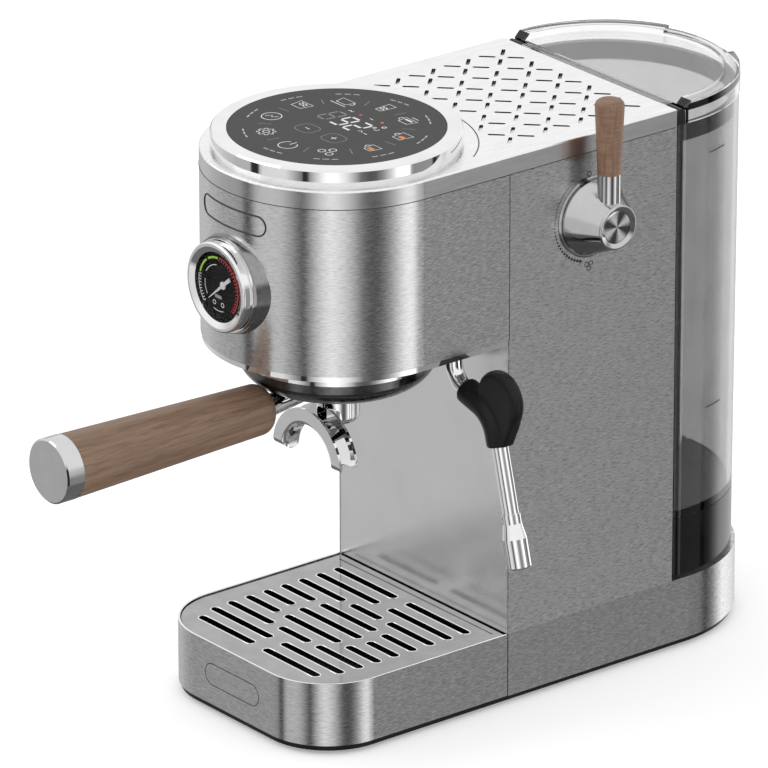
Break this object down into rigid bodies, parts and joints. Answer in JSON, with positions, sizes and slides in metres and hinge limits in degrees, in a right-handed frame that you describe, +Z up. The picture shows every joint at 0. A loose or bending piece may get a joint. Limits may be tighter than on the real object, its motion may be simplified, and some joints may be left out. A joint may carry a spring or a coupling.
{
  "type": "espresso machine",
  "caption": "Slim pump espresso machine: round head with touch dial and pressure gauge, wood-handled portafilter, steam lever and wand, pull-out drip tray, lift-off rear water tank.",
  "frame": {"origin": "middle of the base outline, on the worktop under the feet", "axes": "+X to the machine's right, where the steam lever and wand are; -Y to its front, where the portafilter handle points; +Z up"},
  "size_m": [0.1901, 0.4654, 0.348],
  "materials": {
    "brushed_steel": "fine horizontal brushing",
    "polished_steel": "polished, soft reflections",
    "chrome": "bright chrome",
    "spun_steel": "spun in circles",
    "dark_metal": "dark, glossy",
    "black_plastic": "satin black",
    "gloss_black": "glossy black",
    "smoke_plastic": "clear, smoky",
    "clear_plastic": "clear",
    "dial_glass": "dark, printed underneath",
    "clear_glass": "clear",
    "gauge_print": "matt black with printed scale",
    "needle_white": "white",
    "walnut": "oiled",
    "red_wood": "oiled",
    "soft_black": "soft, matt",
    "seal_rubber": "matt red-brown",
    "stainless": "plain",
    "cast_aluminium": "as cast",
    "brass": "plain",
    "coil_grey": "moulded",
    "board_green": "circuit board",
    "hose": "milky tube"
  },
  "bodies": {
    "machine": {"base_band": "brushed_steel", "side_panel_right": "brushed_steel", "side_panel_left": "brushed_steel", "head_shell": "brushed_steel", "top_cover": "brushed_steel", "splash_panel": "polished_steel", "head_floor": "chrome", "group_ring": "chrome", "control_bezel": "chrome", "gauge_collar": "chrome", "gauge_bezel": "chrome", "knob_flange": "chrome", "wand_socket": "chrome", "lock_ring": "dark_metal", "base_plate": "black_plastic", "back_panel": "black_plastic", "cord_gland": "black_plastic", "gauge_case": "black_plastic", "tank_inlet": "black_plastic", "tank_seat": "gloss_black", "control_glass": "dial_glass", "gauge_lens": "clear_glass", "gauge_face": "gauge_print", "rubber_feet": "soft_black", "pump_saddle": "soft_black", "group_gasket": "seal_rubber", "inner_frame": "stainless", "shower_screen": "stainless", "shower_screw": "stainless", "steam_pipes": "stainless", "heating_block": "cast_aluminium", "group_head": "cast_aluminium", "steam_valve": "brass", "solenoid_valve": "coil_grey", "pump": "coil_grey", "power_board": "board_green", "control_board": "board_green", "inlet_hose": "hose", "pressure_hose": "hose"},
    "steam_lever": {"lever_hub": "chrome", "lever_cap": "spun_steel", "lever_grip": "red_wood", "valve_stem": "stainless"},
    "steam_wand": {"wand_tube": "chrome", "wand_grip": "soft_black", "wand_nozzle": "chrome"},
    "portafilter": {"portafilter_body": "chrome", "filter_basket": "stainless", "pour_spout": "chrome", "handle_grip": "walnut", "handle_cap": "chrome"},
    "gauge_hand": {"gauge_needle": "needle_white"},
    "drip_tray": {"tray_band": "brushed_steel", "tray_tub": "black_plastic"},
    "grille": {"drip_grille": "polished_steel"},
    "water_tank": {"tank_shell": "smoke_plastic", "tank_collar": "gloss_black", "tank_valve": "black_plastic"},
    "lid": {"tank_lid": "clear_plastic"}
  },
  "joints": [
    {"name": "lever_turn", "type": "hinge", "parent": "machine", "child": "steam_lever", "pos_m": [0.075, 0.0222, 0.276], "axis": [1, 0, 0], "range_deg": [0, 165]},
    {"name": "wand_swivel", "type": "hinge", "parent": "machine", "child": "steam_wand", "pos_m": [0.0516, -0.055, 0.214], "axis": [0, 0, 1], "range_deg": [-70, 10]},
    {"name": "portafilter_lock", "type": "hinge", "parent": "machine", "child": "portafilter", "pos_m": [0, -0.09525, 0.2], "axis": [0, 0, 1], "range_deg": [-50, 0]},
    {"name": "needle_turn", "type": "hinge", "parent": "machine", "child": "gauge_hand", "pos_m": [0, -0.173, 0.2604], "axis": [0, 1, 0], "range_deg": [0, 240]},
    {"name": "tray_slide", "type": "slide", "parent": "machine", "child": "drip_tray", "axis": [0, -1, 0], "range_m": [0, 0.14]},
    {"name": "grille_lift", "type": "slide", "parent": "drip_tray", "child": "grille", "axis": [0, 0, 1], "range_m": [0, 0.045]},
    {"name": "tank_lift", "type": "slide", "parent": "machine", "child": "water_tank", "axis": [0, 0, 1], "range_m": [0, 0.24]},
    {"name": "lid_turn", "type": "hinge", "parent": "water_tank", "child": "lid", "pos_m": [0, 0.0875, 0.32], "axis": [1, 0, 0], "range_deg": [0, 85]}
  ]
}
